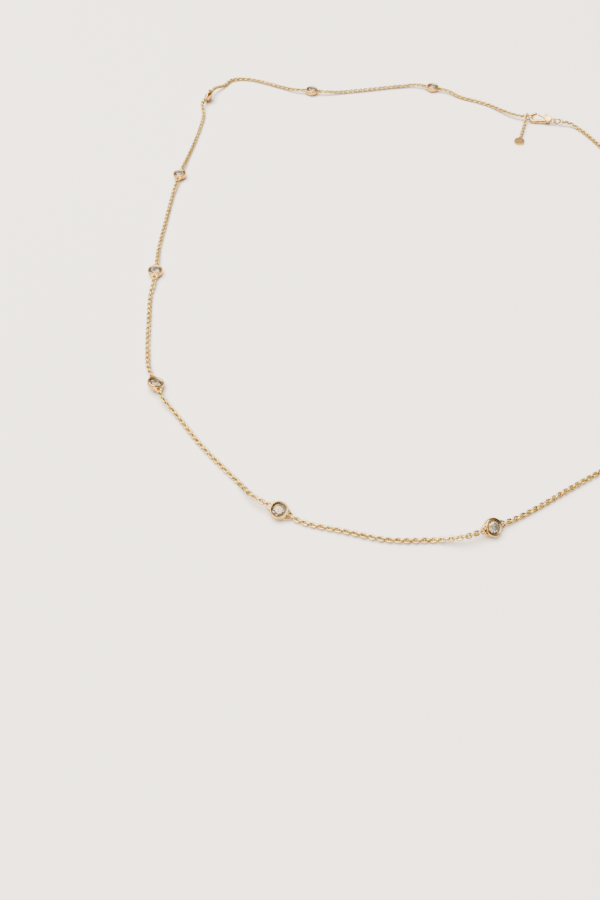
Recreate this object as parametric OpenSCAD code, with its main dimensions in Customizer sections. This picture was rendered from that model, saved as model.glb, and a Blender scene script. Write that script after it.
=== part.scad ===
// Diamond station necklace, closed and lying flat: a fine cable chain with round brilliants in
// open-backed bezel cups, a lobster clasp with a sprung lever, and a short tail with a blank tag.
// Millimetres, +Z up. The origin is on the surface it lies on, under the middle of its outline.
// The chain runs clockwise seen from above, and a heading is the way it runs, in degrees from +X.

/* [Stations] */
// Outer diameter of a bezel cup
bezel_d = 3.4; // [3.2:0.1:3.7]
// Height of a bezel cup
bezel_h = 1.5; // [1.45:0.05:1.6]
// Diameter of a round brilliant at its girdle
stone_d = 2.4; // [2.2:0.05:2.5]
// Height of the soldered end rings above the back of the cup
ring_z = 0.9; // [0.8:0.05:1]

/* [Chain] */
// Width over a chain link
chain_w = 1.1; // [1:0.05:1.2]
// Wire diameter of a chain link
link_wire = 0.28; // [0.24:0.02:0.3]
// Height of the chain's middle above the surface
chain_z = 0.55; // [0.55:0.01:0.7]

/* [Clasp] */
// Wire diameter of the hook
hook_wire = 0.84; // [0.8:0.02:0.86]
// Thickness of the knuckle that holds the lever
knuckle_h = 1.5; // [1.4:0.05:1.6]
// Diameter of the rivet through the knuckle
rivet_d = 0.5; // [0.4:0.05:0.6]
// Gap between the rivet and the lever's bore, all round
rivet_gap = 0.05; // [0.03:0.01:0.08]
// How far the lever is pressed in, in degrees
lever_turn = 0; // [0:1:22]

/* [Tail] */
// Diameter of the blank tag
tag_d = 2.8; // [2.4:0.1:3.2]
// Thickness of the blank tag
tag_t = 0.45; // [0.3:0.05:0.6]

/* [Hidden] */
function two(n) = n < 10 ? str("0", n) : str(n);
STATIONS = 11;
CHAINS = STATIONS + 1;
gold = "#d9b27c";
pale_gold = "#e6c69a";
ice = "#e8eef2";
round_fn = 64;

// Middle of the outline on the surface, which becomes the origin
middle = [-0.04, 0.51];

// Columns: x, y, heading, roll about the chain and pitch of the cup
station = [
    [5.3, -76.5, 205, -28, -8],
    [-31.2, -73.1, 154, -14, -10],
    [-56.5, -44.1, 115, 20, 4],
    [-60.5, -9.4, 91, 0, 0],
    [-58.7, 28.8, 83, -4, 0],
    [-53.5, 67.5, 71, -62, 0],
    [-24, 72, -8, 6, 0],
    [12, 74, -22, 0, 0],
    [60.5, 13.5, -85, 5, 0],
    [58.5, -24.5, -105, 0, 0],
    [38.5, -56.5, -138, -5, 0],
];

// Route points between one station and the next, x and y. Row 8 runs to the clasp and row 9 from it.
route = [
    [[-5, -78.9], [-12.5, -78.8], [-20, -77.1]],
    [[-39.2, -66.4], [-45.8, -59], [-51.3, -51.5]],
    [[-59.2, -34], [-60, -26], [-60.7, -17.5]],
    [[-60.8, 0], [-60.3, 10], [-59.8, 20]],
    [[-57.5, 38], [-56, 48], [-55, 58]],
    [[-50, 76], [-47.5, 79.5], [-42, 79.5], [-33, 75]],
    [[-15, 72], [-7, 73.5], [3, 75.5]],
    [[20, 69], [27, 65]],
    [[51, 51], [56, 38], [59.5, 25]],
    [[61.5, 3], [61.5, -8], [60.5, -17]],
    [[55, -36], [50, -44], [44.5, -50.5]],
    [[31, -62.5], [22.5, -67.5], [14, -72.6]],
];

// Clasp: place on the surface, heading and roll, and the height of its middle
clasp_at = [40.5, 56];
clasp_heading = -16;
clasp_roll = 30;
clasp_z = 1.09;

// Bezel cup
bezel_r = bezel_d / 2;
wall_z = 0.85;
back_r = bezel_r - 0.75;
back_hole_r = 0.55;
lip_r = bezel_r - 0.2;
bevel_r = lip_r - 0.04;
bevel_drop = 0.19;
lip_inner_r = stone_d / 2 - 0.06;
lip_round_z = bezel_h - 0.35;
belly = [for (a = [0:15:90]) [back_r + (bezel_r - back_r) * sin(a), wall_z * (1 - cos(a))]];
brow = [
    for (a = [0:15:90])
        [lip_r + (bezel_r - lip_r) * cos(a), lip_round_z + (bezel_h - lip_round_z) * sin(a)]
];
ring_r = 0.45;
ring_wire = 0.3;
ring_x = bezel_r + ring_r;

// Round brilliant: proportions of its diameter, and its main angles
stone_r = stone_d / 2;
table_r = stone_r * 0.56;
star_r = (stone_r + table_r) / 2;
crown_slope = tan(34.5);
pavilion_slope = tan(40.8);
girdle_t = 0.06;
seat_gap = 0.05;
culet_z = 0.02;
girdle_z = culet_z + stone_r * pavilion_slope;
table_z = girdle_z + girdle_t + (stone_r - table_r) * crown_slope;
lower_r = stone_r * 0.23;

// Chain: oval links at each end of a stretch, the tube that stands for the links between them,
// and the small round ring at the chain's two ends and at the start of the tail
end_gap = 0.11;
link_b = (chain_w - link_wire) / 2;
link_a = link_b + 0.19;
link_sides = 12;
wire_sides = 6;
link_in_ring = 0.05;
end_link_x = link_in_ring + link_a;
tube_x = end_link_x + link_a + link_wire / 2 + end_gap;
small_ring_r = 0.65;
small_ring_wire = 0.3;
ring_to_tube = 2 * small_ring_r + small_ring_wire / 2 + end_gap;
tube_sides = 8;
tube_rings = 7;

// Lobster clasp: the hook's bend, its tip, the knuckle and the eye, along and across the clasp
bend_u = -1.6;
bend_r = 1.15;
tip_u = -1.15;
knuckle_u = 2.1;
knuckle_r = 0.95;
spine_end_v = -0.4;
slot_w = 0.76;
slot_floor_v = -0.42;
slot_end_u = 2.78;
rivet_v = 0.15;
spine_r = 0.5;
joint_step = 0.02;
joint_lap = 0.1;
eye_r = 0.6;
eye_wire = 0.4;
eye_u = knuckle_u + knuckle_r + eye_r;
lever_w = 0.64;
lever_eye_r = 0.5;
lever_rod_r = 0.28;
thumb_rod_r = 0.25;
rod_start = 0.38;
lever_tip = [-0.7, 1.1];
thumb = [1.25, 1.5];

// Rings on the clasp
end_ring_r = 1.05;
end_ring_wire = 0.36;
end_ring_u = bend_u - bend_r + hook_wire / 2 + end_gap + end_ring_wire / 2 - end_ring_r;
jump_ring_r = 0.9;
jump_ring_wire = 0.4;
jump_ring_u = eye_u + 0.1 + jump_ring_r;
chain_in_u = end_ring_u - end_ring_r + (end_ring_wire + small_ring_wire) / 2 + end_gap;
chain_out_u = jump_ring_u + jump_ring_r - (jump_ring_wire + small_ring_wire) / 2 - end_gap;

// Tail: place of its own small ring round the end ring, the lean that it leaves at, its route to
// the tag's ring, and the tag
tail_round = 50;
tail_lean = 80;
tail_route = [[36.1, 55, 1.12], [35.3, 52.6, 0.62]];
tail_end = [33.4, 47.2];
tail_links = 12;
tail_ring_x = small_ring_r - (small_ring_wire + end_ring_wire) / 2 - end_gap;
tag_heading = -111;
tag_lean = 6;
tag_ring_r = 0.4;
tag_ring_wire = 0.24;
tag_ring_x = tag_d / 2 + 0.3;

// Turns a point about X, then Y, then Z, as rotate() does
function turn_x(p, a) = [p.x, p.y * cos(a) - p.z * sin(a), p.y * sin(a) + p.z * cos(a)];
function turn_y(p, a) = [p.x * cos(a) + p.z * sin(a), p.y, p.z * cos(a) - p.x * sin(a)];
function turn_z(p, a) = [p.x * cos(a) - p.y * sin(a), p.x * sin(a) + p.y * cos(a), p.z];
function turn(p, a) = turn_z(turn_y(turn_x(p, a.x), a.y), a.z);
function unit(v) = v / norm(v);

// A leaning cup stands on the lowest point of its outline
function cup_lean(s) = acos(cos(s[3]) * cos(s[4]));
function cup_lift(s) = let (a = cup_lean(s))
    max([for (q = concat(belly, brow)) q.x * sin(a) - q.y * cos(a)]);
function cup_turn(s) = [s[3], s[4], s[2]];
function on_floor(p, z) = [p.x - middle.x, p.y - middle.y, z];
function in_cup(s, p) = turn(p, cup_turn(s)) + on_floor([s[0], s[1]], cup_lift(s));
function in_clasp(p) = turn(p, [clasp_roll, 0, clasp_heading]) + on_floor(clasp_at, clasp_z);

// Start and end of the tube in each stretch of chain, and the way that the chain runs there
function tube_start(k) =
    k == 8 ? in_clasp([chain_out_u + ring_to_tube, 0, 0])
    : in_cup(station[k < 8 ? k : k - 1], [ring_x + tube_x, 0, ring_z]);
function tube_end(k) =
    k == 7 ? in_clasp([chain_in_u - ring_to_tube, 0, 0])
    : in_cup(station[k < 8 ? k + 1 : k % STATIONS], [-ring_x - tube_x, 0, ring_z]);
function way(heading, pitch) = turn([1, 0, 0], [0, pitch, heading]);
function way_out(k) = k == 8 ? way(clasp_heading, 0)
    : let (s = station[k < 8 ? k : k - 1]) way(s[2], s[4]);
function way_in(k) = k == 7 ? way(clasp_heading, 0)
    : let (s = station[k < 8 ? k + 1 : k % STATIONS]) way(s[2], s[4]);

// Smooth curve through points: a cubic between neighbours, with the slope at each from the two beside it
function slope(p, i, first, last) =
    i == 0 ? first * norm(p[1] - p[0])
    : i == len(p) - 1 ? last * norm(p[i] - p[i - 1])
    : (p[i + 1] - p[i - 1]) / 2;
function cubic(a, b, da, db, t) =
    a * (2 * t ^ 3 - 3 * t ^ 2 + 1) + da * (t ^ 3 - 2 * t ^ 2 + t)
    + b * (3 * t ^ 2 - 2 * t ^ 3) + db * (t ^ 3 - t ^ 2);
function on_curve(p, u, first, last) = let (
    i = min(floor(u * (len(p) - 1)), len(p) - 2),
    t = u * (len(p) - 1) - i
) cubic(p[i], p[i + 1], slope(p, i, first, last), slope(p, i + 1, first, last), t);
function stretch(k) = concat(
    [tube_start(k)],
    [for (q = route[k]) on_floor(q, chain_z)],
    [tube_end(k)]
);

// Round link or ring in the plane of its own X and Z, upright on the chain
module upright_ring(mean_r, wire) {
    rotate([90, 0, 0])
        rotate_extrude($fn = round_fn)
            translate([mean_r, 0])
                circle(d = wire, $fn = 32);
}

module flat_ring(mean_r, wire) {
    rotate_extrude($fn = round_fn)
        translate([mean_r, 0])
            circle(d = wire, $fn = 32);
}

module place_cup(s) {
    translate(in_cup(s, [0, 0, 0]))
        rotate(cup_turn(s))
            children();
}

module place_clasp() {
    translate(in_clasp([0, 0, 0]))
        rotate([clasp_roll, 0, clasp_heading])
            children();
}

// Cup: rounded outside, narrower open back, a cone-shaped seat under the pavilion, and a lip over
// the girdle with a broad bevel that falls from its rim to the stone
module cup() {
    groove_r = stone_r + seat_gap;
    groove_top = girdle_z + girdle_t + seat_gap;
    seat_top = girdle_z - seat_gap;
    seat_bottom = seat_top - (groove_r - back_hole_r) * pavilion_slope;
    rotate_extrude($fn = round_fn)
        polygon(concat(
            [[back_hole_r, 0]],
            belly,
            brow,
            [
                [bevel_r, bezel_h - 0.01],
                [lip_inner_r, bezel_h - bevel_drop],
                [lip_inner_r, groove_top + (groove_r - lip_inner_r) * crown_slope],
                [groove_r, groove_top],
                [groove_r, seat_top],
                [back_hole_r, seat_bottom],
            ]
        ));
}

module end_rings() {
    for (side = [-1, 1])
        translate([side * ring_x, 0, ring_z])
            flat_ring(ring_r, ring_wire);
}

module bezel(i) {
    color(gold)
        place_cup(station[i])
            union() {
                cup();
                end_rings();
            }
}

// Brilliant: rows of points from the table down to the culet, joined into facets
function row(n, r, z, first) =
    [for (i = [0:n - 1]) let (a = first + i * 360 / n) [r * cos(a), r * sin(a), z]];

module brilliant() {
    crown_fall = (table_z - girdle_z - girdle_t) / (stone_r - table_r);
    star_z = table_z - crown_fall * (star_r * cos(22.5) - table_r);
    lower_z = culet_z + pavilion_slope * lower_r * cos(22.5);
    points = concat(
        row(8, table_r, table_z, 0),
        row(8, star_r, star_z, 22.5),
        row(16, stone_r, girdle_z + girdle_t, 0),
        row(16, stone_r, girdle_z, 0),
        row(8, lower_r, lower_z, 22.5),
        [[0, 0, culet_z]]
    );
    star = 8;
    upper = 16;
    lower = 32;
    mid = 48;
    culet = 56;
    table_face = [[7, 6, 5, 4, 3, 2, 1, 0]];
    crown_faces = [
        for (i = [0:7]) let (j = (i + 1) % 8, g = 2 * i, h = (2 * i + 1) % 16, n = (2 * i + 2) % 16)
            each [
                [i, j, star + i],
                [j, upper + n, star + i],
                [i, star + i, upper + g],
                [star + i, upper + h, upper + g],
                [star + i, upper + n, upper + h],
            ]
    ];
    girdle_faces = [
        for (g = [0:15]) let (h = (g + 1) % 16)
            each [[upper + g, upper + h, lower + h], [upper + g, lower + h, lower + g]]
    ];
    pavilion_faces = [
        for (i = [0:7]) let (j = (i + 1) % 8, g = 2 * i, h = (2 * i + 1) % 16, n = (2 * i + 2) % 16)
            each [
                [lower + g, lower + h, mid + i],
                [lower + h, lower + n, mid + i],
                [lower + g, mid + i, culet],
                [lower + n, culet, mid + i],
            ]
    ];
    polyhedron(points, concat(table_face, crown_faces, girdle_faces, pavilion_faces));
}

module diamond(i) {
    color(ice)
        place_cup(station[i])
            brilliant();
}

// Oval link in the plane of its own X and Z, upright on the chain: two half circles joined by
// straight sides
module link() {
    n = wire_sides;
    half_side = link_a - link_b;
    points = [
        for (i = [0:link_sides - 1]) let (
            a = (i + 0.5) * 360 / link_sides,
            out = [cos(a), 0, sin(a)],
            middle_of_end = [sign(cos(a)) * half_side, 0, 0]
        )
            for (j = [0:n - 1]) let (t = j * 360 / n)
                middle_of_end + out * link_b + (out * cos(t) + [0, 1, 0] * sin(t)) * link_wire / 2
    ];
    faces = [
        for (i = [0:link_sides - 1], j = [0:n - 1]) let (
            near = i * n,
            far = (i + 1) % link_sides * n,
            m = (j + 1) % n
        )
            each [[near + j, far + m, near + m], [near + j, far + j, far + m]]
    ];
    polyhedron(points, faces);
}

// Tube swept along a stretch of chain, with flat ends
module chain_tube(k) {
    p = stretch(k);
    last = tube_rings - 1;
    at = [
        for (i = [0:last]) let (q = on_curve(p, i / last, way_out(k), way_in(k)))
            [q.x, q.y, max(q.z, chain_z)]
    ];
    along = [
        for (i = [0:last])
            i == 0 ? way_out(k)
            : i == last ? way_in(k)
            : unit(at[i + 1] - at[i - 1])
    ];
    points = [
        for (i = [0:last]) let (
            side = unit(cross(along[i], [0, 0, 1])),
            up = cross(side, along[i])
        )
            for (j = [0:tube_sides - 1]) let (a = (j + 0.5) * 360 / tube_sides)
                at[i] + (side * cos(a) + up * sin(a)) * chain_w / 2
    ];
    n = tube_sides;
    walls = [
        for (i = [0:last - 1], j = [0:n - 1])
            [i * n + j, i * n + (j + 1) % n, (i + 1) * n + (j + 1) % n, (i + 1) * n + j]
    ];
    caps = [
        [for (j = [0:n - 1]) n - 1 - j],
        [for (j = [0:n - 1]) last * n + j]
    ];
    polyhedron(points, concat(caps, walls));
}

module chain(k) {
    from = station[k < 8 ? k : k - 1];
    to = station[k < 8 ? k + 1 : k % STATIONS];
    color(pale_gold) {
        chain_tube(k);
        if (k == 8)
            place_clasp()
                translate([chain_out_u + small_ring_r, 0, 0])
                    flat_ring(small_ring_r, small_ring_wire);
        else
            place_cup(from)
                translate([ring_x + end_link_x, 0, ring_z])
                    link();
        if (k == 7)
            place_clasp()
                translate([chain_in_u - small_ring_r, 0, 0])
                    flat_ring(small_ring_r, small_ring_wire);
        else
            place_cup(to)
                translate([-ring_x - end_link_x, 0, ring_z])
                    link();
    }
}

// Straight rod from one point in the clasp's plane to another, tapered, with a round far end
module rod(a, b, start_r, end_r) {
    d = b - a;
    reach = norm(d);
    dome = [for (t = [15:15:75]) [end_r * cos(t), reach + end_r * sin(t)]];
    translate([a.x, a.y, 0])
        rotate([0, 90, atan2(d.y, d.x)])
            rotate_extrude($fn = round_fn)
                polygon(concat(
                    [[0, 0], [start_r, 0], [end_r, reach]],
                    dome,
                    [[0, reach + end_r]]
                ));
}

// Knuckle: a round boss with its two edges rounded by short cones
module knuckle() {
    edge = 0.25;
    half = knuckle_h / 2;
    translate([knuckle_u, 0, 0])
        rotate_extrude($fn = round_fn)
            polygon([
                [0, -half],
                [knuckle_r - edge, -half],
                [knuckle_r - edge * 0.3, -half + edge * 0.3],
                [knuckle_r, -half + edge],
                [knuckle_r, half - edge],
                [knuckle_r - edge * 0.3, half - edge * 0.3],
                [knuckle_r - edge, half],
                [0, half],
            ]);
}

module clasp_body() {
    hook_r = hook_wire / 2;
    thick_r = hook_r + joint_step;
    color(gold)
        place_clasp()
            union() {
                translate([bend_u, 0, 0])
                    rotate([0, 0, 90])
                        rotate_extrude(angle = 180, $fn = round_fn)
                            translate([bend_r, 0])
                                circle(r = hook_r, $fn = round_fn);
                rod([bend_u - joint_lap, bend_r], [tip_u - hook_r, bend_r], thick_r, hook_r);
                difference() {
                    union() {
                        knuckle();
                        rod([bend_u - joint_lap, -bend_r], [knuckle_u, spine_end_v], thick_r, spine_r);
                    }
                    translate([bend_u, slot_floor_v, -slot_w / 2])
                        cube([slot_end_u - bend_u, 2 * knuckle_r, slot_w]);
                }
                translate([knuckle_u, rivet_v, -knuckle_h / 2 - 0.04])
                    cylinder(d = rivet_d, h = knuckle_h + 0.08, $fn = round_fn);
                translate([eye_u, 0, 0])
                    flat_ring(eye_r, eye_wire);
            }
}

// Start of a lever's arm: clear of the bore, and still inside the eye
function out_from(pivot, end) = pivot + unit(end - pivot) * rod_start;

module clasp_lever() {
    pivot = [knuckle_u, rivet_v];
    color(pale_gold)
        place_clasp()
            translate([pivot.x, pivot.y, 0])
                rotate([0, 0, lever_turn])
                    translate([-pivot.x, -pivot.y, 0])
                        union() {
                            difference() {
                                translate([pivot.x, pivot.y, -lever_w / 2])
                                    cylinder(r = lever_eye_r, h = lever_w, $fn = round_fn);
                                translate([pivot.x, pivot.y, -lever_w])
                                    cylinder(d = rivet_d + 2 * rivet_gap, h = 2 * lever_w, $fn = round_fn);
                            }
                            rod(out_from(pivot, lever_tip), lever_tip, lever_rod_r, lever_rod_r - joint_step);
                            rod(out_from(pivot, thumb), thumb, thumb_rod_r, thumb_rod_r + joint_step);
                        }
}

module end_ring() {
    color(gold)
        place_clasp()
            translate([end_ring_u, 0, 0])
                upright_ring(end_ring_r, end_ring_wire);
}

module jump_ring() {
    color(gold)
        place_clasp()
            translate([jump_ring_u, 0, 0])
                upright_ring(jump_ring_r, jump_ring_wire);
}

// Tail: its ring and oval links by length along a curve, each turned a quarter from the one before
ring_out = [-cos(tail_round), 0, sin(tail_round)];
ring_along = turn([sin(tail_round), 0, cos(tail_round)], [clasp_roll, 0, clasp_heading]);
tail_first = turn(
    ring_out * cos(tail_lean) - [0, sin(tail_lean), 0],
    [clasp_roll, 0, clasp_heading]
);
tail_last = way(tag_heading, tag_lean);
tag_ring_z = tag_t / 2 * cos(tag_lean) + (tag_d / 2 + tag_ring_x) * sin(tag_lean);
tail_curve = concat(
    [in_clasp([end_ring_u, 0, 0] + end_ring_r * ring_out)],
    [for (q = tail_route) on_floor(q, q.z)],
    [on_floor(tail_end, tag_ring_z)]
);
tail_steps = 60;
function tail_at(u) = on_curve(tail_curve, u, tail_first, tail_last);
function tail_step(i) = norm(tail_at(i / tail_steps) - tail_at((i - 1) / tail_steps));
tail_run = [
    for (i = 0, run = 0; i <= tail_steps; i = i + 1, run = run + tail_step(i))
        [run, i / tail_steps]
];
tail_length = tail_run[tail_steps][0];
first_link_x = tail_ring_x + small_ring_r - (small_ring_wire + link_wire) / 2 - end_gap + link_a;
last_link_x = tail_length + 0.03 - link_a;
tail_pitch = (last_link_x - first_link_x) / (tail_links - 1);

// Turn about the tail that sets a link square to the end ring's wire
function side_of(v) = unit([-v.y, v.x, 0]);
tail_roll = atan2(ring_along * cross(tail_first, side_of(tail_first)), ring_along * side_of(tail_first));

module on_tail(run, roll) {
    u = lookup(run, tail_run);
    ahead = unit(tail_at(min(1, u + 0.01)) - tail_at(max(0, u - 0.01)));
    translate(tail_at(u))
        rotate([0, -asin(ahead.z), atan2(ahead.y, ahead.x)])
            rotate([roll, 0, 0])
                children();
}

module tail_chain() {
    color(pale_gold) {
        on_tail(tail_ring_x, tail_roll)
            upright_ring(small_ring_r, small_ring_wire);
        for (i = [1:tail_links])
            on_tail(first_link_x + (i - 1) * tail_pitch, tail_roll * (1 - i / tail_links) + 90 * i)
                link();
    }
}

module tail_tag() {
    color(gold)
        translate(on_floor(tail_end, tag_ring_z))
            rotate([0, tag_lean, tag_heading])
                union() {
                    translate([tag_ring_x, 0, -tag_t / 2])
                        cylinder(d = tag_d, h = tag_t, $fn = round_fn);
                    flat_ring(tag_ring_r, tag_ring_wire);
                }
}

for (i = [0:STATIONS - 1]) {
    bezel(i);
    diamond(i);
}
for (k = [0:CHAINS - 1])
    chain(k);
clasp_body();
clasp_lever();
end_ring();
jump_ring();
tail_chain();
tail_tag();
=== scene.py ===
import math

import bpy
import numpy as np
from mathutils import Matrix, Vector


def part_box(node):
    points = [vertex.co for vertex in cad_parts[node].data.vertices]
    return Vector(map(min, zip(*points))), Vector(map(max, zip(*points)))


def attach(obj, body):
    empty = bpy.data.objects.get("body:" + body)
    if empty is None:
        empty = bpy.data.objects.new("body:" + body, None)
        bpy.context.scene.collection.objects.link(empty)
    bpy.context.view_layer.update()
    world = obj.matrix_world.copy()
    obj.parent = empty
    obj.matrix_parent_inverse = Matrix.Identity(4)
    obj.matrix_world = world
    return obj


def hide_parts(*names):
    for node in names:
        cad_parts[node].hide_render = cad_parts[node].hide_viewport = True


bl_info = {
    "name": "Diamond station necklace",
    "version": (1, 0, 0),
    "blender": (4, 5, 0),
    "location": "View3D > Sidebar > Necklace",
    "description": "Oval chain links, bezel cups, brilliants and clasp finish on the necklace's solids",
    "category": "Object",
}

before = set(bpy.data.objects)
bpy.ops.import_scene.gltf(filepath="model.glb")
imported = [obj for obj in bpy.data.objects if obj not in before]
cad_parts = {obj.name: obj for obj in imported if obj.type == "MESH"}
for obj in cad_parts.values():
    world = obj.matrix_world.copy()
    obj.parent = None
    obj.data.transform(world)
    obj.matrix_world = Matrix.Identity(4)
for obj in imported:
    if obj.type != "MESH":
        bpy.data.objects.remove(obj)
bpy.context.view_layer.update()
MM = 0.001
STATIONS = 11

# Middle of the lying outline, in millimetres, which is taken off every place below
MIDDLE = np.array([-0.04, 0.51, 0.0])

# Where each cup lies: x, y, heading, roll about the chain and pitch
STATION = np.array([
    [5.3, -76.5, 205, -28, -8],
    [-31.2, -73.1, 154, -14, -10],
    [-56.5, -44.1, 115, 20, 4],
    [-60.5, -9.4, 91, 0, 0],
    [-58.7, 28.8, 83, -4, 0],
    [-53.5, 67.5, 71, -62, 0],
    [-24, 72, -8, 6, 0],
    [12, 74, -22, 0, 0],
    [60.5, 13.5, -85, 5, 0],
    [58.5, -24.5, -105, 0, 0],
    [38.5, -56.5, -138, -5, 0],
])

# Points that each stretch of chain passes between its two ends
ROUTE = [
    [[-5, -78.9], [-12.5, -78.8], [-20, -77.1]],
    [[-39.2, -66.4], [-45.8, -59], [-51.3, -51.5]],
    [[-59.2, -34], [-60, -26], [-60.7, -17.5]],
    [[-60.8, 0], [-60.3, 10], [-59.8, 20]],
    [[-57.5, 38], [-56, 48], [-55, 58]],
    [[-50, 76], [-47.5, 79.5], [-42, 79.5], [-33, 75]],
    [[-15, 72], [-7, 73.5], [3, 75.5]],
    [[20, 69], [27, 65]],
    [[51, 51], [56, 38], [59.5, 25]],
    [[61.5, 3], [61.5, -8], [60.5, -17]],
    [[55, -36], [50, -44], [44.5, -50.5]],
    [[31, -62.5], [22.5, -67.5], [14, -72.6]],
]
TO_CLASP, FROM_CLASP = 7, 8
CHAIN_Z = 0.55
CHAIN_SAMPLES, TAIL_SAMPLES = 400, 241

# A link's direction is taken over this much of the curve to either side of it
HALF_SPAN = 0.15

# Lay of the chain: radians of its wave over a stretch, how many kinds of stretch differ in it by
# one, and how far the wave shifts from one stretch to the next
LAY_WAVE, LAY_KINDS, LAY_SHIFT = 3, 3, 1.7

# End rings: height above a cup's back, and how far the first link's wire lies past the ring's middle
RING_Z = 0.9
LINK_IN_RING = 0.05
TUBE_GAP = 0.11

# Solder at an end ring: how much thicker it is at the cup, how far inside the cup its sides aim and
# its end goes on from there, and the least slope of a side
SOLDER_RISE, SOLDER_IN, LEAST_SLANT = 0.25, 0.1, 0.3

# Clasp: its place and turn, then its hook, eye and rings along its own X
CLASP_PLACE = np.array([40.5, 56, 1.09])
CLASP_TURN = (30, 0, -16)
BEND_U, BEND_R, HOOK_WIRE = -1.6, 1.15, 0.84
EYE_U, EYE_GAP = 3.65, 0.1
END_RING_R, END_RING_WIRE = 1.05, 0.36
END_RING_U = BEND_U - BEND_R + HOOK_WIRE / 2 + TUBE_GAP + END_RING_WIRE / 2 - END_RING_R
JUMP_RING_R, JUMP_RING_WIRE = 0.9, 0.4
JUMP_RING_U = EYE_U + EYE_GAP + JUMP_RING_R
SMALL_RING_R, SMALL_RING_WIRE = 0.65, 0.3
SMALL_RING_GAP = 0.06
CHAIN_IN_U = END_RING_U - END_RING_R + (END_RING_WIRE + SMALL_RING_WIRE) / 2 + TUBE_GAP
CHAIN_OUT_U = JUMP_RING_U + JUMP_RING_R - (JUMP_RING_WIRE + SMALL_RING_WIRE) / 2 - TUBE_GAP

# Tail: where round the end ring it starts and how it leans there, its points, and its tag
TAIL_ROUND, TAIL_LEAN = 50, 80
TAIL_ROUTE = [[36.1, 55, 1.12], [35.3, 52.6, 0.62]]
TAIL_END = [33.4, 47.2]
TAIL_LINKS = 12
TAIL_OVER = 0.03
TAG_HEADING, TAG_LEAN, TAG_D, TAG_T, TAG_RING_OUT = -111, 6, 2.8, 0.45, 0.3

# Cup profile: how far its back, its lip and its bevel lie inside its radius, and its heights
BACK_IN, LIP_IN, BEVEL_IN = 0.75, 0.2, 0.24
WALL_Z, BROW_DROP, BEVEL_DROP, RIM_DROP = 0.85, 0.35, 0.19, 0.01
BACK_HOLE_R, BACK_EDGE = 0.55, 0.04
LIP_OVER_STONE = 0.06
LIP_EDGE_IN, LIP_EDGE_UP = 0.02, 0.012
STONE_R, SEAT_GAP, GIRDLE_T, CULET_Z = 1.2, 0.05, 0.06, 0.02
PAVILION, CROWN = math.tan(math.radians(40.8)), math.tan(math.radians(34.5))

# Stage: the picture's focal length and height in pixels, and sizes in metres
FOCAL_PX, PICTURE_PX, SENSOR_MM = 708, 900, 36
NEAREST_SEEN = 0.001
FLOOR_REACH = 2.5

# Soft lights: name, place, size across, share of the key strength, and whether the stones show it,
# because the large one lights the floor and the gold and only the small one sparks in the stones
SOFT_LIGHTS = (
    ("softbox", (-0.3, 0.2, 1.1), 1.2, 1.0, False),
    ("front softbox", (-0.25, -0.55, 0.8), 0.4, 0.09, True),
)

# Surround: how much its depth counts beside its height, and where its tones change
DEPTH_SHARE = 0.5
WALL_TOP, CEILING = 0.6, 0.95

# Refractive index of diamond
DIAMOND_IOR = 2.417

# A Mix node's sockets for its first value, its second and its result, by kind of value
MIX_SOCKETS = {"RGBA": (6, 7, 2), "FLOAT": (2, 3, 0)}


# Numbers and frames

def linear(code):
    """sRGB hex to a linear colour: c / 12.92 up to 0.04045, else ((c + 0.055) / 1.055) ^ 2.4."""
    c = np.array([int(code[i:i + 2], 16) for i in (1, 3, 5)]) / 255
    c = np.where(c <= 0.04045, c / 12.92, ((c + 0.055) / 1.055) ** 2.4)
    return (*c.tolist(), 1.0)


def turned(points, roll, pitch, heading):
    """Points turned about X by the roll, then about Y by the pitch, then about Z by the heading."""
    angles = np.radians([roll, pitch, heading])
    (cr, sr), (cp, sp), (ch, sh) = ((math.cos(a), math.sin(a)) for a in angles)
    x = np.array([[1, 0, 0], [0, cr, -sr], [0, sr, cr]])
    y = np.array([[cp, 0, sp], [0, 1, 0], [-sp, 0, cp]])
    z = np.array([[ch, -sh, 0], [sh, ch, 0], [0, 0, 1]])
    return np.asarray(points, float) @ (z @ y @ x).T


def arc_rows(centre, radii, first, last, steps):
    """Points c + (rx cos a, rz sin a) for a from first to last degrees, as (radius, height)."""
    a = np.radians(np.linspace(first, last, steps))
    return np.stack([centre[0] + radii[0] * np.cos(a), centre[1] + radii[1] * np.sin(a)], 1)


def cup_outline(bezel_r, bezel_h, steps=7):
    """Outside of a cup from its back to its lip: a belly r = back + (R - back) sin a,
    z = w (1 - cos a), then a brow that rounds over the lip's edge by a quarter of an ellipse."""
    back_r, lip_r, brow_z = bezel_r - BACK_IN, bezel_r - LIP_IN, bezel_h - BROW_DROP
    belly = arc_rows((back_r, WALL_Z), (bezel_r - back_r, WALL_Z), -90, 0, steps)
    brow = arc_rows((lip_r, brow_z), (bezel_r - lip_r, bezel_h - brow_z), 0, 90, steps)
    return np.concatenate([belly, brow])


def cup_lift(row, outline):
    """Height that stands a cup, leaning by a with cos a = cos roll cos pitch, on its lowest point:
    the largest r sin a - z cos a over its outline."""
    a = math.acos(math.cos(math.radians(row[3])) * math.cos(math.radians(row[4])))
    return (outline[:, 0] * math.sin(a) - outline[:, 1] * math.cos(a)).max()


def end_ring_x(size):
    """Distance from a cup's middle to its end ring's: the wire's middle touches the cup's wall."""
    return (size.bezel_d / 2 + size.ring_r) / MM


def in_cup(k, points, size):
    """Points in cup k's own frame, placed where that cup lies."""
    row = STATION[k]
    lift = cup_lift(row, cup_outline(size.bezel_d / 2 / MM, size.bezel_h / MM))
    return turned(points, row[3], row[4], row[2]) + [row[0], row[1], lift] - MIDDLE


def in_clasp(points):
    """Points in the clasp's own frame, placed where the clasp lies."""
    return turned(points, *CLASP_TURN) + CLASP_PLACE - MIDDLE


# Curves

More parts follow.
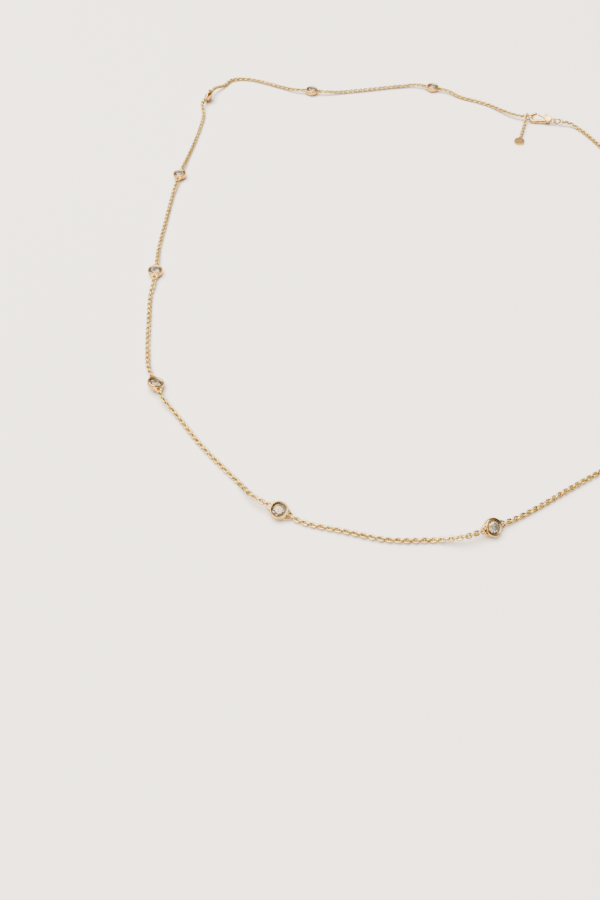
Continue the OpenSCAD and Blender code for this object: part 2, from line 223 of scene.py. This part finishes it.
def smooth_curve(points, first, last, samples):
    """Cubic Hermite through the points, with slope (p[i+1] - p[i-1]) / 2 at each and the given
    directions at the ends, sampled evenly in its parameter."""
    p = np.asarray(points, float)
    ends = np.linalg.norm(np.diff(p, axis=0), axis=1)[[0, -1]]
    d = np.empty_like(p)
    d[1:-1] = (p[2:] - p[:-2]) / 2
    d[0], d[-1] = np.asarray(first) * ends[0], np.asarray(last) * ends[1]
    u = np.linspace(0, len(p) - 1, samples)
    i = np.minimum(u.astype(int), len(p) - 2)
    t = (u - i)[:, None]
    return (
        p[i] * (2 * t**3 - 3 * t**2 + 1) + d[i] * (t**3 - 2 * t**2 + t)
        + p[i + 1] * (3 * t**2 - 2 * t**3) + d[i + 1] * (t**3 - t**2)
    )


def by_length(curve):
    """Running length along a sampled curve."""
    return np.concatenate([[0], np.cumsum(np.linalg.norm(np.diff(curve, axis=0), axis=1))])


def frames_at(curve, run, roll):
    """Places and frames on a curve at lengths run: X along it, Y level and square to it, Z = X x Y,
    and Y and Z then turned about X by the roll in degrees."""
    s = by_length(curve)

    def at(v):
        return np.stack([np.interp(v, s, curve[:, j]) for j in range(3)], 1)

    x = at(np.minimum(run + HALF_SPAN, s[-1])) - at(np.maximum(run - HALF_SPAN, 0))
    x /= np.linalg.norm(x, axis=1, keepdims=True)
    y = np.stack([-x[:, 1], x[:, 0], np.zeros(len(x))], 1)
    y /= np.linalg.norm(y, axis=1, keepdims=True)
    z = np.cross(x, y)
    c, n = np.cos(np.radians(roll))[:, None], np.sin(np.radians(roll))[:, None]
    return at(run), np.stack([x, c * y + n * z, c * z - n * y], 1)


# Surfaces

def grid_faces(rows, columns):
    """Quads over a grid that closes on itself both ways."""
    i, j = np.meshgrid(np.arange(rows), np.arange(columns), indexing="ij")
    a, b = (i + 1) % rows, (j + 1) % columns
    quads = [i * columns + j, a * columns + j, a * columns + b, i * columns + b]
    return np.stack(quads, -1).reshape(-1, 4)


def half_link(size):
    """Half a link's width and length, to the middle of its wire, and the wire's diameter."""
    return (size.link_w - size.wire) / 2 / MM, (size.link_l - size.wire) / 2 / MM, size.wire / MM


def oval_link(size, sides=12, wire_sides=6):
    """One link upright in its X-Z plane: a round wire of radius w along two half circles of radius b
    joined by straight sides, p = (sign(cos a) (h - b) + b cos a, 0, b sin a) + w (cos t out - sin t Y).
    """
    half_w, half_l, wire = half_link(size)
    a = (np.arange(sides) + 0.5) * 2 * math.pi / sides
    t = np.arange(wire_sides) * 2 * math.pi / wire_sides
    out = np.stack([np.cos(a), 0 * a, np.sin(a)], 1)
    core = out * half_w + np.stack([np.sign(np.cos(a)) * (half_l - half_w), 0 * a, 0 * a], 1)
    y = np.array([0.0, 1.0, 0.0])
    across = np.cos(t)[None, :, None] * out[:, None] - np.sin(t)[None, :, None] * y
    return (core[:, None] + wire / 2 * across).reshape(-1, 3), grid_faces(sides, wire_sides)


def round_ring(mean_r, wire, sides=36, wire_sides=14):
    """Ring flat in its X-Y plane: p = ((R + w cos t) cos a, (R + w cos t) sin a, w sin t)."""
    a = np.arange(sides)[:, None] * 2 * math.pi / sides
    t = np.arange(wire_sides)[None, :] * 2 * math.pi / wire_sides
    r = mean_r + wire / 2 * np.cos(t)
    p = np.stack([r * np.cos(a), r * np.sin(a), wire / 2 * np.sin(t) + 0 * a], -1)
    return p.reshape(-1, 3), grid_faces(sides, wire_sides)


def soldered_eye(mean_r, wire, ring_x, cup_r, sides=96, wire_sides=14):
    """End ring with its middle at x on a cup's X, whose solder flows into the cup. In direction a
    from the ring's middle the metal reaches from the hole out to the ring's own edge e, then to the
    line that touches both it and a circle of radius c about the cup,
    e / (s cos a + sqrt(1 - s s) |sin a|) with s = (c - e) / x, and toward the cup no farther than
    just inside that circle. Its thickness grows toward the cup by the square of (1 - cos a) / 2."""
    a = np.arange(sides) * 2 * math.pi / sides
    t = np.arange(wire_sides)[None, :] * 2 * math.pi / wire_sides
    hole, edge = mean_r - wire / 2, mean_r + wire / 2
    s = (cup_r - edge) / ring_x
    slant = s * np.cos(a) + math.sqrt(1 - s * s) * np.abs(np.sin(a))
    reach = np.where(np.cos(a) > s, edge, edge / np.maximum(slant, LEAST_SLANT))
    under = cup_r ** 2 - (ring_x * np.sin(a)) ** 2
    inside = -ring_x * np.cos(a) - np.sqrt(np.maximum(under, 0)) + SOLDER_IN
    reach = np.where((under > 0) & (np.cos(a) < 0), np.minimum(reach, inside), reach)
    middle, half = ((reach + hole) / 2)[:, None], ((reach - hole) / 2)[:, None]
    r = middle + half * np.cos(t)
    rise = wire / 2 + SOLDER_RISE * ((1 - np.cos(a)) / 2)[:, None] ** 2
    x, y = r * np.cos(a)[:, None], r * np.sin(a)[:, None]
    p = np.stack([ring_x + x, y, RING_Z + rise * np.sin(t)], -1)
    return p.reshape(-1, 3), grid_faces(sides, wire_sides)


def turned_profile(profile, sides=72):
    """Closed profile of (radius, height) points carried once round the Z axis."""
    a = np.arange(sides)[:, None] * 2 * math.pi / sides
    r, z = profile[:, 0][None, :], profile[:, 1][None, :]
    p = np.stack([r * np.cos(a), r * np.sin(a), z + 0 * a], -1)
    return p.reshape(-1, 3), grid_faces(sides, len(profile))


def joined(parts):
    """Several (points, faces) as one."""
    offsets = np.cumsum([0] + [len(p) for p, _ in parts[:-1]])
    points = np.concatenate([p for p, _ in parts])
    return points, np.concatenate([f + o for (_, f), o in zip(parts, offsets)])


def repeated(part, places, axes):
    """One (points, faces) copied to each place, q = place + x X + y Y + z Z for its frame's axes."""
    points, faces = part
    p = places[:, None] + np.einsum("pk,nkj->npj", points, axes)
    f = faces[None] + (np.arange(len(places)) * len(points))[:, None, None]
    return p.reshape(-1, 3), f.reshape(-1, 4)


def piece(name, part, material, stands_for, sharp=None, shade_inside=None):
    """Makes the mesh in place, smooth apart from edges sharper than the given degrees, and puts it on
    the necklace's body. Each point's own number in the optional mask tells the material how far inside
    a cup it lies, and so where it paints shade."""
    points, faces = part
    mesh = bpy.data.meshes.new(name)
    mesh.from_pydata((points * MM).tolist(), [], faces.tolist())
    mesh.polygons.foreach_set("use_smooth", np.ones(len(faces), bool))
    if sharp:
        mesh.set_sharp_from_angle(angle=math.radians(sharp))
    if shade_inside is not None:
        values = mesh.attributes.new("shade_inside", "FLOAT", "POINT").data
        values.foreach_set("value", shade_inside.astype(np.float32))
    mesh.materials.append(material)
    mesh.update()
    made = bpy.data.objects.new(name, mesh)
    bpy.context.scene.collection.objects.link(made)
    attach(made, "necklace")
    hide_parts(*stands_for)


def refinished(names, material):
    """Gives the solids' own nodes of these names the material."""
    for name in names:
        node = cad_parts[name]
        node.data.materials.clear()
        node.data.materials.append(material)


# Materials

def add(tree, kind, inputs=None, **settings):
    """Adds a node: settings are its properties, and inputs are values or sockets to link, by name."""
    made = tree.nodes.new(kind)
    for key, value in settings.items():
        setattr(made, key, value)
    for key, value in (inputs or {}).items():
        if isinstance(value, bpy.types.NodeSocket):
            tree.links.new(value, made.inputs[key])
        else:
            made.inputs[key].default_value = value
    return made


def per_metre(pattern_mm):
    """Noise scale that gives a pattern of this size in millimetres on Object coordinates."""
    return 1 / (pattern_mm * MM)


def started(name):
    """A new material with its tree cleared, its shader, and its Object coordinates."""
    material = bpy.data.materials.get(name) or bpy.data.materials.new(name)
    material.use_nodes = True
    tree = material.node_tree
    tree.nodes.clear()
    shader = add(tree, "ShaderNodeBsdfPrincipled")
    add(tree, "ShaderNodeOutputMaterial", {"Surface": shader.outputs["BSDF"]})
    return material, tree, shader, add(tree, "ShaderNodeTexCoord").outputs["Object"]


def tone_drift(tree, place, pattern_mm, detail, low, high):
    """Slow drift between two tones, each a (position, hex), in a pattern of this size."""
    drift = add(tree, "ShaderNodeTexNoise", {
        "Vector": place, "Scale": per_metre(pattern_mm), "Detail": detail,
    })
    ramp = add(tree, "ShaderNodeValToRGB", {"Fac": drift.outputs["Fac"]})
    for stop, (position, tone) in zip(ramp.color_ramp.elements, (low, high)):
        stop.position, stop.color = position, linear(tone)
    return ramp.outputs["Color"]


def yellow_gold(name, light, deep, tone_mm, mark_mm, roughness, marks):
    """Metal with a slow drift between two golds, a roughness that varies with its polishing marks,
    and those marks as a bump. Real marks are finer, and are drawn this coarse so that they show."""
    material, tree, shader, place = started(name)
    tone = tone_drift(tree, place, tone_mm, 2.0, (0.35, deep), (0.65, light))
    grit = add(tree, "ShaderNodeTexNoise", {
        "Vector": place, "Scale": per_metre(mark_mm), "Detail": 3.0,
    }).outputs["Fac"]
    rough = add(tree, "ShaderNodeMapRange", {
        "Value": grit, "From Min": 0.3, "From Max": 0.7,
        "To Min": roughness[0], "To Max": roughness[1],
    })
    bump = add(tree, "ShaderNodeBump", {"Height": grit, "Strength": marks, "Distance": 0.01 * MM})
    shader.inputs["Metallic"].default_value = 1.0
    tree.links.new(tone, shader.inputs["Base Color"])
    tree.links.new(rough.outputs["Result"], shader.inputs["Roughness"])
    tree.links.new(bump.outputs["Normal"], shader.inputs["Normal"])
    return material


def painted_shade_inside(material, shade, roughness):
    """Paints shade on the points that lie inside a cup: a darker tone that stands in for the shade
    there, and a duller surface.
    """
    tree = material.node_tree
    shade_inside = add(tree, "ShaderNodeAttribute", attribute_name="shade_inside").outputs["Fac"]
    shader = next(n for n in tree.nodes if n.type == "BSDF_PRINCIPLED")
    for socket, value, data_type in (
        ("Base Color", linear(shade), "RGBA"),
        ("Roughness", roughness, "FLOAT"),
    ):
        outer = shader.inputs[socket].links[0].from_socket
        mix = add(tree, "ShaderNodeMix", data_type=data_type)
        a, b, result = MIX_SOCKETS[data_type]
        tree.links.new(shade_inside, mix.inputs[0])
        tree.links.new(outer, mix.inputs[a])
        mix.inputs[b].default_value = value
        tree.links.new(mix.outputs[result], shader.inputs[socket])


def cut_diamond(name, clear, painted_reflection, gleam, tone_mm, clearness):
    """Cut diamond: smooth clear facets, with a painted reflection in their colour: a drift between
    clear and brownish gold through the stone that stands in for the gold cup and the dim room seen in
    its facets.
    """
    material, tree, shader, place = started(name)
    # Painted reflection: the brownish tone stands in for the gold and the dim room that the facets
    # return
    tone = tone_drift(tree, place, tone_mm, 1.0, (0.42, painted_reflection), (0.6, clear))
    tree.links.new(tone, shader.inputs["Base Color"])
    shader.inputs["Specular Tint"].default_value = linear(gleam)
    shader.inputs["Roughness"].default_value = 0.0
    shader.inputs["IOR"].default_value = DIAMOND_IOR
    shader.inputs["Transmission Weight"].default_value = clearness
    return material


def pale_floor(paint, tone_mm):
    """Plain matt floor with a barely visible drift of tone."""
    material, tree, shader, place = started("matt painted floor")
    drift = add(tree, "ShaderNodeTexNoise", {
        "Vector": place, "Scale": per_metre(tone_mm), "Detail": 1.0,
    })
    level = add(tree, "ShaderNodeMapRange", {
        "Value": drift.outputs["Fac"], "To Min": 0.99, "To Max": 1.01,
    })
    shade = add(tree, "ShaderNodeHueSaturation", {
        "Color": (*paint, 1.0), "Value": level.outputs["Result"],
    })
    tree.links.new(shade.outputs["Color"], shader.inputs["Base Color"])
    shader.inputs["Roughness"].default_value = 0.9
    shader.inputs["Specular IOR Level"].default_value = 0.1
    return material


def warm_grey(level):
    """Warm grey of this sRGB level, as hex."""
    v = round(level * 255)
    return f"#{v:02x}{round(v * 0.97):02x}{round(v * 0.93):02x}"


def soft_surround(world, stage):
    """Studio surround fixed in the room: bright overhead, falling to dim walls near the horizon, and
    dimmer on the side that the camera stands. It goes by z + share y of the way looked."""
    world.use_nodes = True
    tree = world.node_tree
    tree.nodes.clear()
    looked = add(tree, "ShaderNodeTexCoord").outputs["Generated"]
    way = add(tree, "ShaderNodeSeparateXYZ", {"Vector": looked}).outputs
    depth = add(tree, "ShaderNodeMath", {0: way["Y"], 1: DEPTH_SHARE}, operation="MULTIPLY")
    height = add(tree, "ShaderNodeMath", {0: way["Z"], 1: depth.outputs["Value"]}, operation="ADD")
    wall = warm_grey(stage.wall)
    ramp = add(tree, "ShaderNodeValToRGB", {"Fac": height.outputs["Value"]})
    stops = ramp.color_ramp.elements
    stops[0].position, stops[0].color = 0.0, linear(wall)
    stops[1].position, stops[1].color = CEILING, linear("#fdfbf9")
    stops.new(WALL_TOP).color = linear(wall)
    back = add(tree, "ShaderNodeBackground", {"Color": ramp.outputs["Color"], "Strength": stage.sky})
    add(tree, "ShaderNodeOutputWorld", {"Surface": back.outputs["Background"]})


# Settings

def number(name, description, default, **limits):
    """A setting that is one number."""
    return bpy.props.FloatProperty(name=name, description=description, default=default, **limits)


def length(name, description, default):
    """A setting that is a length in metres."""
    return number(name, description, default, min=0, unit="LENGTH", precision=5)


def colour(name, description, default):
    """A setting that is a colour, given as hex."""
    return bpy.props.FloatVectorProperty(
        name=name, description=description, default=linear(default)[:3], size=3,
        min=0, max=1, subtype="COLOR"
    )


class ChainSettings(bpy.types.PropertyGroup):
    """Sizes of the chain's oval links."""
    link_l: length("Link length", "Over the ends of one link", 1.48 * MM)
    link_w: length("Link width", "Over the sides of one link", 1.1 * MM)
    wire: length("Wire", "Diameter of a link's wire", 0.36 * MM)
    pitch: length("Pitch", "From one link's middle to the next", 0.74 * MM)
    lay: number(
        "Lay", "Most that the lying chain is twisted about itself between two cups",
        math.radians(22), min=0, max=math.radians(90), subtype="ANGLE"
    )


class CupSettings(bpy.types.PropertyGroup):
    """Sizes of the bezel cups, with their height read from the solids."""
    bezel_d: length("Cup diameter", "Over the outside of a cup", 3.4 * MM)
    bezel_h: length("Cup height", "From a cup's back to its lip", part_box("bezel_04")[1].z)
    ring_r: length("End ring radius", "To the middle of its wire", 0.45 * MM)
    ring_wire: length("End ring wire", "Diameter of its wire", 0.3 * MM)


class StageSettings(bpy.types.PropertyGroup):
    """Camera, floor and light."""
    eye_x: number("Camera X", "Sideways place of the camera", -27.46 * MM, unit="LENGTH")
    eye_y: number("Camera Y", "Place of the camera in front", -138.51 * MM, unit="LENGTH")
    eye_z: length("Camera height", "Height of the camera above the floor", 107 * MM)
    down: number(
        "Look down", "Angle that the camera looks down by", math.radians(53.7), subtype="ANGLE"
    )
    floor: colour("Floor", "Colour of the floor", "#f3e6d9")
    key: number("Key", "Strength of the soft key light", 62.0)
    sky: number("Surround", "Strength of the pale surround", 1.3)
    wall: number("Wall", "Tone of the surround near the horizon", 0.5)


# Operators

def chain_hook(k, end, size):
    """Where the chain's end wire sits: inside a cup's end ring, or in the small ring at the clasp.
    Gives that point, the point where the chain leaves straight, the way it runs and its roll."""
    half, wire = half_link(size)[1:]
    side = -1 if end else 1
    if (k, end) in ((TO_CLASP, 1), (FROM_CLASP, 0)):
        far_wire = (CHAIN_IN_U if end else CHAIN_OUT_U) + side * 2 * SMALL_RING_R
        hook = far_wire - side * ((SMALL_RING_WIRE + wire) / 2 + SMALL_RING_GAP)
        start = far_wire + side * (SMALL_RING_WIRE / 2 + TUBE_GAP)
        points = in_clasp([[hook, 0, 0], [start, 0, 0]])
        return points[0], points[1], turned([1, 0, 0], 0, 0, CLASP_TURN[2]), CLASP_TURN[0]
    cups = bpy.context.scene.necklace_cups
    station = (k + end if k <= TO_CLASP else k + end - 1) % STATIONS
    row = STATION[station]
    hook = side * (end_ring_x(cups) + LINK_IN_RING)
    start = hook + side * (2 * half + wire / 2 + TUBE_GAP)
    points = in_cup(station, [[hook, 0, RING_Z], [start, 0, RING_Z]], cups)
    return points[0], points[1], turned([1, 0, 0], 0, row[4], row[2]), row[3]


def chain_curve(k, size):
    """The route of stretch k: straight out of one ring, a smooth curve over the surface, and
    straight into the next. Gives the curve and the roll at its two ends."""
    a, b = chain_hook(k, 0, size), chain_hook(k, 1, size)
    middle = [[x - MIDDLE[0], y - MIDDLE[1], CHAIN_Z] for x, y in ROUTE[k]]
    curve = smooth_curve([a[1], *middle, b[1]], a[2], b[2], CHAIN_SAMPLES)
    curve[:, 2] = np.maximum(curve[:, 2], CHAIN_Z)
    return np.concatenate([[a[0]], curve, [b[0]]]), a[3], b[3]


class NECKLACE_OT_chain(bpy.types.Operator):
    """Twelve stretches of interlocked oval links, each turned a quarter from the one before"""
    bl_idname = "necklace.chain"
    bl_label = "Chain links"

    def execute(self, context):
        size = context.scene.necklace_chain
        # Yellow gold 14k drawn wire, soldered and tumbled: soft bright highlights on each link
        gold = yellow_gold(
            "yellow gold 14k drawn wire", light="#d2b56b", deep="#b89548",
            tone_mm=0.9, mark_mm=0.12, roughness=(0.1, 0.2), marks=0.2
        )
        link = oval_link(size)
        half = half_link(size)[1]
        for k in range(STATIONS + 1):
            curve, from_roll, to_roll = chain_curve(k, size)
            whole = by_length(curve)[-1]
            count = 2 * round((whole - 2 * half) / (2 * size.pitch / MM)) + 1
            run = np.linspace(half, whole - half, count)
            t = np.linspace(0, 1, count)
            wave = np.sin((LAY_WAVE + k % LAY_KINDS) * t + LAY_SHIFT * k)
            lay = math.degrees(size.lay) * np.sin(math.pi * t) * wave
            ease = t * t * (3 - 2 * t)
            roll = from_roll + (to_roll - from_roll) * ease + lay + 90 * np.arange(count)
            parts = [repeated(link, *frames_at(curve, run, roll))]
            if k in (TO_CLASP, FROM_CLASP):
                u = CHAIN_IN_U - SMALL_RING_R if k == TO_CLASP else CHAIN_OUT_U + SMALL_RING_R
                points, faces = round_ring(SMALL_RING_R, SMALL_RING_WIRE)
                parts.append((in_clasp(points + [u, 0, 0]), faces))
            name = f"{k + 1:02d}"
            piece(f"links_{name}", joined(parts), gold, [f"chain_{name}"])
        return {"FINISHED"}


class NECKLACE_OT_cups(bpy.types.Operator):
    """Bezel cups with a burnished lip and their two soldered end rings"""
    bl_idname = "necklace.cups"
    bl_label = "Bezel cups"

    def execute(self, context):
        size = context.scene.necklace_cups
        # Yellow gold 14k turned cup, its lip burnished over the stone and polished: a clear soft gloss
        gold = yellow_gold(
            "yellow gold 14k polished", light="#cda55c", deep="#bd944a",
            tone_mm=1.6, mark_mm=0.18, roughness=(0.06, 0.16), marks=0.15
        )
        bezel_r, bezel_h = size.bezel_d / 2 / MM, size.bezel_h / MM
        groove_r = STONE_R + SEAT_GAP
        girdle_z = CULET_Z + STONE_R * PAVILION
        groove_top = girdle_z + GIRDLE_T + SEAT_GAP
        seat_top = girdle_z - SEAT_GAP
        lip_inner, bevel_z = STONE_R - LIP_OVER_STONE, bezel_h - BEVEL_DROP
        inside = np.array([
            [bezel_r - BEVEL_IN, bezel_h - RIM_DROP],
            [lip_inner + LIP_EDGE_IN, bevel_z + LIP_EDGE_UP],
            [lip_inner, bevel_z],
            [lip_inner, groove_top + (groove_r - lip_inner) * CROWN],
            [groove_r, groove_top],
            [groove_r, seat_top],
            [BACK_HOLE_R, seat_top - (groove_r - BACK_HOLE_R) * PAVILION],
            [BACK_HOLE_R, BACK_EDGE],
            [BACK_HOLE_R + BACK_EDGE, 0.0],
        ])
        # The bevel and the seat are duller than the outside, as the graver left them, and painted
        # darker as shade inside the cup
        painted_shade_inside(gold, "#806a46", roughness=0.35)
        outline = cup_outline(bezel_r, bezel_h, steps=13)
        profile = np.concatenate([outline, inside])
        cup = turned_profile(profile)
        # The points of the inside profile: where the material paints shade
        shade_inside = np.tile(np.arange(len(profile)) >= len(outline), len(cup[0]) // len(profile))
        ring_r, ring_wire = size.ring_r / MM, size.ring_wire / MM
        eye, eye_faces = soldered_eye(ring_r, ring_wire, end_ring_x(size), bezel_r - SOLDER_IN)
        points, faces = joined([cup] + [(eye * [side, side, 1], eye_faces) for side in (-1, 1)])
        shade_inside = np.concatenate([shade_inside, np.zeros(len(points) - len(shade_inside))])
        for k in range(STATIONS):
            name = f"{k + 1:02d}"
            piece(
                f"cup_{name}", (in_cup(k, points, size), faces), gold,
                [f"bezel_{name}"], sharp=40, shade_inside=shade_inside
            )
        return {"FINISHED"}


class NECKLACE_OT_stones(bpy.types.Operator):
    """Round brilliants: the solids' own facets in clear diamond"""
    bl_idname = "necklace.stones"
    bl_label = "Brilliants"

    def execute(self, context):
        # Diamond, cut and polished: flat mirror-smooth facets; the gold round them that they take up is
        # a painted reflection, a brownish drift in their colour
        diamond = cut_diamond(
            "diamond cut and polished", clear="#f2e6d4", painted_reflection="#ad8b62", gleam="#c8a880",
            tone_mm=0.8, clearness=0.9
        )
        refinished([f"diamond_{k + 1:02d}" for k in range(STATIONS)], diamond)
        return {"FINISHED"}


def tail_curve():
    """The tail's route: out of the end ring's side, down to the surface and along to the tag's ring.
    Gives the curve and the roll at its start."""
    r, lean = math.radians(TAIL_ROUND), math.radians(TAIL_LEAN)
    out = np.array([-math.cos(r), 0, math.sin(r)])
    first = turned(out * math.cos(lean) - [0, math.sin(lean), 0], *CLASP_TURN)
    last = turned([1, 0, 0], 0, TAG_LEAN, TAG_HEADING)
    tag = math.radians(TAG_LEAN)
    tag_z = TAG_T / 2 * math.cos(tag) + (TAG_D + TAG_RING_OUT) * math.sin(tag)
    start = in_clasp(np.array([END_RING_U, 0, 0]) + END_RING_R * out)
    end = np.array([*TAIL_END, tag_z]) - MIDDLE
    curve = smooth_curve([start, *(np.array(TAIL_ROUTE) - MIDDLE), end], first, last, TAIL_SAMPLES)
    wire = turned([math.sin(r), 0, math.cos(r)], *CLASP_TURN)
    level = np.array([-first[1], first[0], 0]) / math.hypot(first[0], first[1])
    roll = math.degrees(math.atan2(wire @ np.cross(first, level), wire @ level))
    return curve, roll


class NECKLACE_OT_tail(bpy.types.Operator):
    """Short tail: a small ring and oval links down to the tag"""
    bl_idname = "necklace.tail"
    bl_label = "Tail"

    def execute(self, context):
        size = context.scene.necklace_chain
        gold = bpy.data.materials["yellow gold 14k drawn wire"]
        curve, roll = tail_curve()
        whole = by_length(curve)[-1]
        half, wire = half_link(size)[1:]
        ring_x = SMALL_RING_R - (SMALL_RING_WIRE + END_RING_WIRE) / 2 - TUBE_GAP
        first = ring_x + SMALL_RING_R - (SMALL_RING_WIRE + wire) / 2 - TUBE_GAP + half
        run = np.linspace(first, whole + TAIL_OVER - half, TAIL_LINKS)
        i = np.arange(1, TAIL_LINKS + 1)
        links = repeated(oval_link(size), *frames_at(curve, run, roll * (1 - i / TAIL_LINKS) + 90 * i))
        points, faces = round_ring(SMALL_RING_R, SMALL_RING_WIRE)
        upright = turned(points, 90, 0, 0)
        ring = repeated((upright, faces), *frames_at(curve, np.array([ring_x]), np.array([roll])))
        piece("tail_links", joined([links, ring]), gold, ["tail_chain"])
        return {"FINISHED"}


class NECKLACE_OT_clasp(bpy.types.Operator):
    """Finish of the clasp, its lever, its rings and the plain tag"""
    bl_idname = "necklace.clasp"
    bl_label = "Clasp and tag"

    def execute(self, context):
        # Yellow gold 14k casting, barrelled: softer gloss than the cups and small dips in its skin
        gold = yellow_gold(
            "yellow gold 14k cast and barrelled", light="#c9a258", deep="#b18845",
            tone_mm=1.1, mark_mm=0.22, roughness=(0.12, 0.26), marks=0.3
        )
        refinished(["clasp_body", "clasp_lever", "end_ring", "jump_ring", "tail_tag"], gold)
        return {"FINISHED"}


def aimed_at_origin(place):
    """Turns about X and Z that point a lamp at the origin."""
    x, y, z = place
    return math.atan2(math.hypot(x, y), z), 0, math.atan2(-x, y) + math.pi


class NECKLACE_OT_stage(bpy.types.Operator):
    """Pale floor, soft light and the camera"""
    bl_idname = "necklace.stage"
    bl_label = "Stage"

    def execute(self, context):
        stage, scene = context.scene.necklace_stage, context.scene
        mesh = bpy.data.meshes.new("floor")
        corners = np.array([[-1, -1, 0], [1, -1, 0], [1, 1, 0], [-1, 1, 0]]) * FLOOR_REACH
        mesh.from_pydata(corners.tolist(), [], [(0, 1, 2, 3)])
        mesh.materials.append(pale_floor(stage.floor, tone_mm=90))
        floor = bpy.data.objects.new("floor", mesh)
        scene.collection.objects.link(floor)
        scene.world = scene.world or bpy.data.worlds.new("pale surround")
        soft_surround(scene.world, stage)
        for name, place, across, share, in_stones in SOFT_LIGHTS:
            light = bpy.data.lights.new(name, "AREA")
            light.size, light.energy = across, stage.key * share
            lamp = bpy.data.objects.new(name, light)
            lamp.location, lamp.rotation_euler = place, aimed_at_origin(place)
            lamp.visible_transmission = in_stones
            scene.collection.objects.link(lamp)
        camera = bpy.data.cameras.new("camera")
        camera.sensor_width, camera.lens = SENSOR_MM, SENSOR_MM * FOCAL_PX / PICTURE_PX
        camera.clip_start = NEAREST_SEEN
        eye = bpy.data.objects.new("camera", camera)
        eye.location = (stage.eye_x, stage.eye_y, stage.eye_z)
        eye.rotation_euler = (math.pi / 2 - stage.down, 0, 0)
        scene.collection.objects.link(eye)
        scene.camera = eye
        return {"FINISHED"}


class NECKLACE_PT_panel(bpy.types.Panel):
    """Lists the necklace's operators and settings"""
    bl_label = "Necklace"
    bl_idname = "NECKLACE_PT_panel"
    bl_space_type = "VIEW_3D"
    bl_region_type = "UI"
    bl_category = "Necklace"

    def draw(self, context):
        for group in SETTINGS:
            box = self.layout.box()
            settings = getattr(context.scene, group)
            for key in settings.__annotations__:
                box.prop(settings, key)
        for operator in OPERATORS:
            self.layout.operator(operator.bl_idname)


SETTINGS = {
    "necklace_chain": ChainSettings,
    "necklace_cups": CupSettings,
    "necklace_stage": StageSettings,
}
OPERATORS = (
    NECKLACE_OT_chain,
    NECKLACE_OT_cups,
    NECKLACE_OT_stones,
    NECKLACE_OT_tail,
    NECKLACE_OT_clasp,
    NECKLACE_OT_stage,
)


def register():
    for cls in (*SETTINGS.values(), *OPERATORS, NECKLACE_PT_panel):
        bpy.utils.register_class(cls)
    for name, cls in SETTINGS.items():
        setattr(bpy.types.Scene, name, bpy.props.PointerProperty(type=cls))


def unregister():
    for name in SETTINGS:
        delattr(bpy.types.Scene, name)
    for cls in (NECKLACE_PT_panel, *reversed(OPERATORS), *reversed(list(SETTINGS.values()))):
        bpy.utils.unregister_class(cls)


def main():
    register()
    bpy.ops.necklace.chain()
    bpy.ops.necklace.cups()
    bpy.ops.necklace.stones()
    bpy.ops.necklace.tail()
    bpy.ops.necklace.clasp()
    bpy.ops.necklace.stage()


if __name__ == "__main__":
    main()
